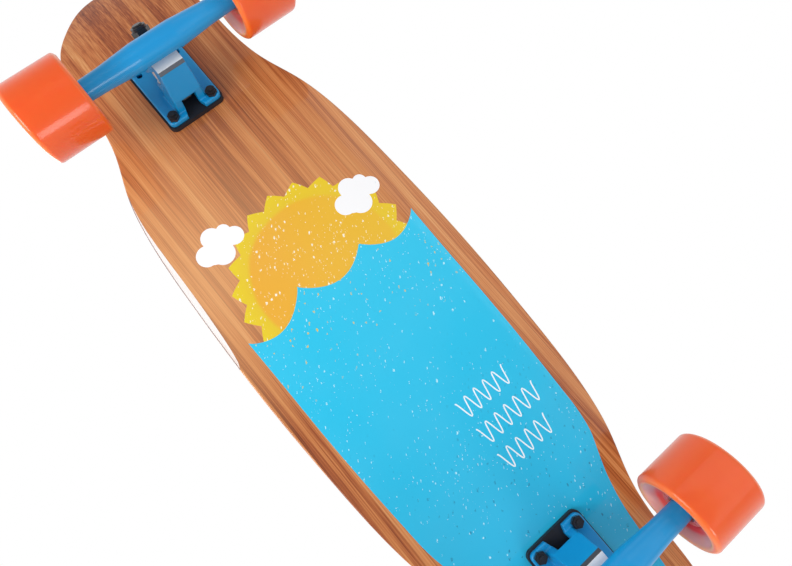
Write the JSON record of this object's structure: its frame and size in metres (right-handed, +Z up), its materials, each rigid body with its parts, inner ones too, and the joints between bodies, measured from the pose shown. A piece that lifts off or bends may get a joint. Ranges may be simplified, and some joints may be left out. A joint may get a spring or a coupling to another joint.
{
  "type": "longboard skateboard",
  "caption": "Short bamboo longboard with cut-outs over the wheels, reverse-kingpin trucks on riser pads and wide soft wheels on ball bearings.",
  "frame": {"origin": "middle of the footprint on the ground, under the deck's centre", "axes": "+X towards the nose, +Y towards the left edge, +Z up; the board stands on its wheels"},
  "size_m": [0.838, 0.239, 0.1389],
  "materials": {
    "deck_plies": "satin",
    "bamboo": "gloss",
    "grip": "rough",
    "riser_rubber": "matte",
    "blue_paint": "satin",
    "black_steel": "satin",
    "zinc_steel": "satin",
    "bushing_urethane": "satin",
    "cup_urethane": "matte",
    "axle_steel": "satin",
    "bearing_steel": "polished",
    "spacer_aluminium": "satin",
    "orange_urethane": "gloss",
    "core_plastic": "gloss",
    "shield_steel": "polished"
  },
  "bodies": {
    "deck": {"deck_core": "deck_plies", "bamboo_veneer": "bamboo", "grip_tape": "grip", "front_riser_pad": "riser_rubber", "front_baseplate": "blue_paint", "front_kingpin": "black_steel", "front_kingpin_nut": "black_steel", "front_cup_washer_board": "zinc_steel", "front_cup_washer_road": "zinc_steel", "front_bushing_board": "bushing_urethane", "front_bushing_road": "bushing_urethane", "front_pivot_cup": "cup_urethane", "front_mounting_bolts": "black_steel", "front_mounting_nuts": "black_steel", "rear_riser_pad": "riser_rubber", "rear_baseplate": "blue_paint", "rear_kingpin": "black_steel", "rear_kingpin_nut": "black_steel", "rear_cup_washer_board": "zinc_steel", "rear_cup_washer_road": "zinc_steel", "rear_bushing_board": "bushing_urethane", "rear_bushing_road": "bushing_urethane", "rear_pivot_cup": "cup_urethane", "rear_mounting_bolts": "black_steel", "rear_mounting_nuts": "black_steel"},
    "front_truck": {"front_hanger": "blue_paint", "front_axle": "axle_steel", "front_axle_nuts": "zinc_steel", "front_speed_washers": "zinc_steel", "front_bearing_inner_rings": "bearing_steel", "front_bearing_spacers": "spacer_aluminium"},
    "rear_truck": {"rear_hanger": "blue_paint", "rear_axle": "axle_steel", "rear_axle_nuts": "zinc_steel", "rear_speed_washers": "zinc_steel", "rear_bearing_inner_rings": "bearing_steel", "rear_bearing_spacers": "spacer_aluminium"},
    "front_left_wheel": {"front_left_tyre": "orange_urethane", "front_left_wheel_core": "core_plastic", "front_left_bearing_outer_rings": "bearing_steel", "front_left_bearing_shields": "shield_steel"},
    "front_left_balls": {"front_left_bearing_balls": "bearing_steel"},
    "front_right_wheel": {"front_right_tyre": "orange_urethane", "front_right_wheel_core": "core_plastic", "front_right_bearing_outer_rings": "bearing_steel", "front_right_bearing_shields": "shield_steel"},
    "front_right_balls": {"front_right_bearing_balls": "bearing_steel"},
    "rear_left_wheel": {"rear_left_tyre": "orange_urethane", "rear_left_wheel_core": "core_plastic", "rear_left_bearing_outer_rings": "bearing_steel", "rear_left_bearing_shields": "shield_steel"},
    "rear_left_balls": {"rear_left_bearing_balls": "bearing_steel"},
    "rear_right_wheel": {"rear_right_tyre": "orange_urethane", "rear_right_wheel_core": "core_plastic", "rear_right_bearing_outer_rings": "bearing_steel", "rear_right_bearing_shields": "shield_steel"},
    "rear_right_balls": {"rear_right_bearing_balls": "bearing_steel"}
  },
  "joints": [
    {"name": "front_steer", "type": "hinge", "parent": "deck", "child": "front_truck", "pos_m": [0.284, 0, 0.0682], "axis": [-0.866, 0, -0.5], "range_deg": [-17, 17], "stiffness_Nm_per_rad": 45, "deforming": ["front_bushing_board", "front_bushing_road"]},
    {"name": "rear_steer", "type": "hinge", "parent": "deck", "child": "rear_truck", "pos_m": [-0.284, 0, 0.0682], "axis": [0.866, 0, -0.5], "range_deg": [-17, 17], "stiffness_Nm_per_rad": 45, "deforming": ["rear_bushing_board", "rear_bushing_road"]},
    {"name": "front_left_wheel_spin", "type": "hinge", "parent": "front_truck", "child": "front_left_wheel", "pos_m": [0.27, 0.0935, 0.035], "axis": [0, 1, 0], "continuous": true},
    {"name": "front_left_ball_roll", "type": "hinge", "parent": "front_truck", "child": "front_left_balls", "pos_m": [0.27, 0.088, 0.035], "axis": [0, 1, 0], "continuous": true},
    {"name": "front_right_wheel_spin", "type": "hinge", "parent": "front_truck", "child": "front_right_wheel", "pos_m": [0.27, -0.0935, 0.035], "axis": [0, 1, 0], "continuous": true},
    {"name": "front_right_ball_roll", "type": "hinge", "parent": "front_truck", "child": "front_right_balls", "pos_m": [0.27, -0.088, 0.035], "axis": [0, 1, 0], "continuous": true},
    {"name": "rear_left_wheel_spin", "type": "hinge", "parent": "rear_truck", "child": "rear_left_wheel", "pos_m": [-0.27, 0.0935, 0.035], "axis": [0, 1, 0], "continuous": true},
    {"name": "rear_left_ball_roll", "type": "hinge", "parent": "rear_truck", "child": "rear_left_balls", "pos_m": [-0.27, 0.088, 0.035], "axis": [0, 1, 0], "continuous": true},
    {"name": "rear_right_wheel_spin", "type": "hinge", "parent": "rear_truck", "child": "rear_right_wheel", "pos_m": [-0.27, -0.0935, 0.035], "axis": [0, 1, 0], "continuous": true},
    {"name": "rear_right_ball_roll", "type": "hinge", "parent": "rear_truck", "child": "rear_right_balls", "pos_m": [-0.27, -0.088, 0.035], "axis": [0, 1, 0], "continuous": true}
  ],
  "couplings": [
    {"joint": "front_left_ball_roll", "follows": "front_left_wheel_spin", "ratio": 0.6323},
    {"joint": "front_right_ball_roll", "follows": "front_right_wheel_spin", "ratio": 0.6323},
    {"joint": "rear_left_ball_roll", "follows": "rear_left_wheel_spin", "ratio": 0.6323},
    {"joint": "rear_right_ball_roll", "follows": "rear_right_wheel_spin", "ratio": 0.6323}
  ]
}
